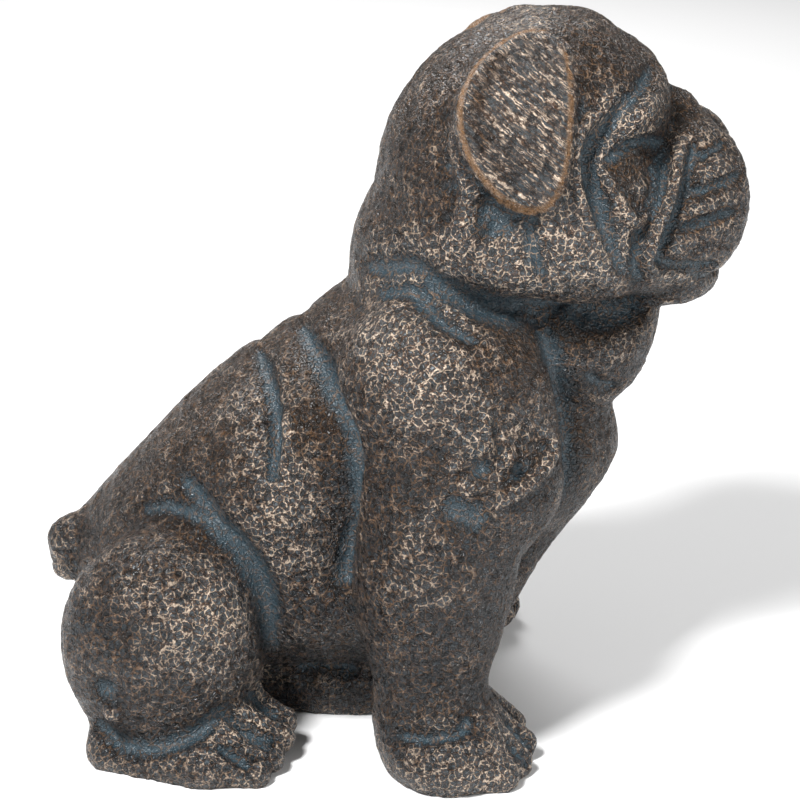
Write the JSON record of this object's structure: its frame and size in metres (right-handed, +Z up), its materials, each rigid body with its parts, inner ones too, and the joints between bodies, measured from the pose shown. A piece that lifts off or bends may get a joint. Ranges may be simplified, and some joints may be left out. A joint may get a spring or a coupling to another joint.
{
  "type": "garden statue",
  "caption": "Sitting bulldog garden figure with folded ears, wrinkled face and heavy paws, moulded in dark plastic with a bronze patina look.",
  "frame": {"origin": "middle of the bounding box's underside, on the surface that the paws and belly stand on", "axes": "+X is the way the dog faces, +Y is its left side, +Z is up"},
  "size_m": [0.3896, 0.2734, 0.4001],
  "materials": {
    "patinated_plastic": "dark bronze paint with slate blue in the hollows and dry-brushed copper and cream on the raised fur"
  },
  "bodies": {
    "root": {"dog_body": "patinated_plastic"}
  },
  "joints": []
}
